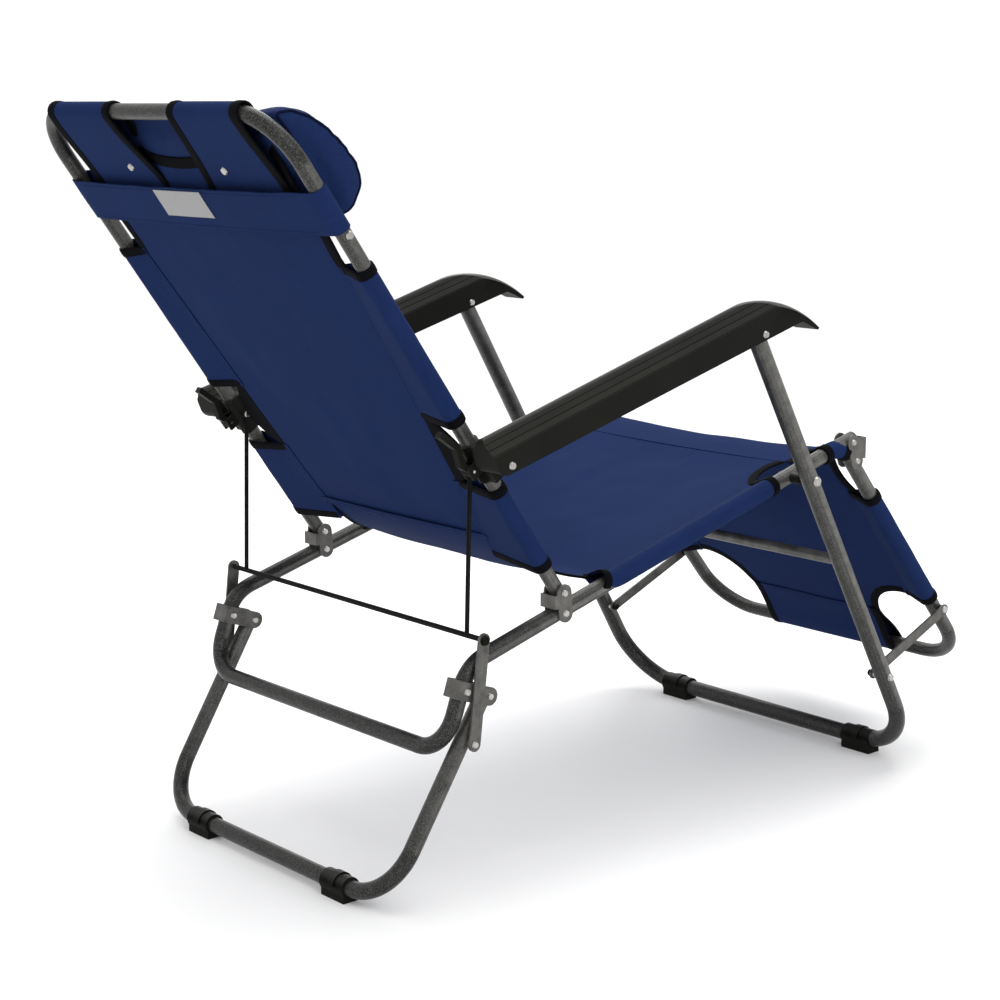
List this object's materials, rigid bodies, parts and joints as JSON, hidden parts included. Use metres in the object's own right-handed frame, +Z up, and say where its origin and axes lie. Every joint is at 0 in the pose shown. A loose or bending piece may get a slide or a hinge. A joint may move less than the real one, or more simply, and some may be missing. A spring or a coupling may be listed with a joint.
{
  "type": "folding sling beach chair",
  "caption": "Folding reclining beach chair with a tube frame, cloth seat, back and footrest slings, moulded armrests and a head pillow.",
  "frame": {"origin": "middle of the footprint, on the floor", "axes": "+Z up; the sitter faces -Y; +X to the sitter's left; the chair is symmetric about X = 0"},
  "size_m": [0.6566, 1.3407, 1.0146],
  "materials": {
    "frame_paint": "dark grey hammered powder coat",
    "bracket_paint": "dark grey powder coat on pressed sheet",
    "wire_paint": "black powder coat on wire",
    "bright_steel": "bright plated rivet steel",
    "black_plastic": "black moulded plastic with a fine grain",
    "spacer_plastic": "black moulded plastic",
    "navy_cloth": "navy woven polyester",
    "black_webbing": "dark navy woven band"
  },
  "bodies": {
    "seat": {"seat_frame": "frame_paint", "seat_sling": "navy_cloth", "back_hinge_bracket_left": "bracket_paint", "back_hinge_bracket_right": "bracket_paint", "knee_bracket_left": "bracket_paint", "knee_bracket_right": "bracket_paint", "rear_leg_bracket_left": "bracket_paint", "rear_leg_bracket_right": "bracket_paint", "bracket_rivets": "bright_steel", "leg_pivot_spacers": "spacer_plastic", "leg_pivot_bolts": "bright_steel"},
    "backrest": {"backrest_frame": "frame_paint", "backrest_sling": "navy_cloth", "head_pillow": "navy_cloth", "pillow_strap": "black_webbing", "strap_snaps": "bright_steel", "strap_studs": "bright_steel", "recline_clamp_left": "black_plastic", "recline_clamp_right": "black_plastic", "clamp_pins": "bright_steel"},
    "footrest": {"footrest_frame": "frame_paint", "footrest_sling": "navy_cloth", "footrest_bosses": "spacer_plastic"},
    "front_leg": {"front_leg_frame": "frame_paint", "leg_crossbar": "frame_paint", "front_foot_left": "black_plastic", "front_foot_right": "black_plastic", "armrest_bolts": "bright_steel", "brace_bolts": "bright_steel", "brace_bolt_caps": "spacer_plastic"},
    "rear_leg": {"rear_leg_frame": "frame_paint", "rear_foot_left": "black_plastic", "rear_foot_right": "black_plastic", "link_pins": "bright_steel"},
    "support_wires": {"support_wire_left": "wire_paint", "support_wire_right": "wire_paint", "cross_rod": "wire_paint"},
    "armrest_left": {"armrest_left": "black_plastic", "armrest_rivet_left": "bright_steel"},
    "brace_left": {"footrest_brace_left": "bracket_paint", "brace_rivet_left": "bright_steel"},
    "link_left": {"link_plate_left": "bracket_paint", "link_cap_left": "black_plastic"},
    "latch_left": {"latch_lever_left": "black_plastic"},
    "armrest_right": {"armrest_right": "black_plastic", "armrest_rivet_right": "bright_steel"},
    "brace_right": {"footrest_brace_right": "bracket_paint", "brace_rivet_right": "bright_steel"},
    "link_right": {"link_plate_right": "bracket_paint", "link_cap_right": "black_plastic"},
    "latch_right": {"latch_lever_right": "black_plastic"}
  },
  "joints": [
    {"name": "fold", "type": "hinge", "parent": "seat", "child": "front_leg", "pos_m": [0, -0.222, 0.47634], "axis": [1, 0, 0], "range_deg": [0, 95.4]},
    {"name": "recline", "type": "hinge", "parent": "seat", "child": "backrest", "pos_m": [0, 0.2235, 0.3773], "axis": [1, 0, 0], "range_deg": [0, 110.6]},
    {"name": "footrest_swing", "type": "hinge", "parent": "seat", "child": "footrest", "pos_m": [0, -0.361, 0.4846], "axis": [1, 0, 0], "range_deg": [0, 101.52]},
    {"name": "rear_leg_swing", "type": "hinge", "parent": "seat", "child": "rear_leg", "pos_m": [0, 0.351, 0.2635], "axis": [1, 0, 0], "range_deg": [-139, 0]},
    {"name": "armrest_left_tilt", "type": "hinge", "parent": "front_leg", "child": "armrest_left", "pos_m": [0.306, -0.09562, 0.69436], "axis": [1, 0, 0], "range_deg": [-98.19, 0]},
    {"name": "brace_left_swing", "type": "hinge", "parent": "front_leg", "child": "brace_left", "pos_m": [0.2805, -0.40806, 0.15537], "axis": [1, 0, 0], "range_deg": [-72.72, 0]},
    {"name": "link_left_swing", "type": "hinge", "parent": "rear_leg", "child": "link_left", "pos_m": [0.279, 0.381, 0.2072], "axis": [1, 0, 0], "range_deg": [0, 162.97]},
    {"name": "latch_left", "type": "hinge", "parent": "backrest", "child": "latch_left", "pos_m": [0.266, 0.37606, 0.55468], "axis": [1, 0, 0], "range_deg": [-25, 0], "stiffness_Nm_per_rad": 0.02},
    {"name": "armrest_right_tilt", "type": "hinge", "parent": "front_leg", "child": "armrest_right", "pos_m": [-0.306, -0.09562, 0.69436], "axis": [1, 0, 0], "range_deg": [-98.19, 0]},
    {"name": "brace_right_swing", "type": "hinge", "parent": "front_leg", "child": "brace_right", "pos_m": [-0.2805, -0.40806, 0.15537], "axis": [1, 0, 0], "range_deg": [-72.72, 0]},
    {"name": "link_right_swing", "type": "hinge", "parent": "rear_leg", "child": "link_right", "pos_m": [-0.279, 0.381, 0.2072], "axis": [1, 0, 0], "range_deg": [0, 162.97]},
    {"name": "latch_right", "type": "hinge", "parent": "backrest", "child": "latch_right", "pos_m": [-0.266, 0.37606, 0.55468], "axis": [1, 0, 0], "range_deg": [-25, 0], "stiffness_Nm_per_rad": 0.02},
    {"name": "wire_swing", "type": "hinge", "parent": "backrest", "child": "support_wires", "pos_m": [0, 0.3588, 0.56699], "axis": [1, 0, 0], "range_deg": [-32.42, 0]}
  ],
  "couplings": [
    {"joint": "recline", "follows": "fold", "ratio": 1.1488},
    {"joint": "footrest_swing", "follows": "fold", "ratio": 1.0537},
    {"joint": "rear_leg_swing", "follows": "fold", "ratio": -1.4465},
    {"joint": "armrest_left_tilt", "follows": "fold", "ratio": -1.0187},
    {"joint": "brace_left_swing", "follows": "fold", "ratio": -0.7518},
    {"joint": "link_left_swing", "follows": "fold", "ratio": 1.6978},
    {"joint": "armrest_right_tilt", "follows": "fold", "ratio": -1.0187},
    {"joint": "brace_right_swing", "follows": "fold", "ratio": -0.7518},
    {"joint": "link_right_swing", "follows": "fold", "ratio": 1.6978},
    {"joint": "wire_swing", "follows": "fold", "ratio": -0.32935}
  ]
}
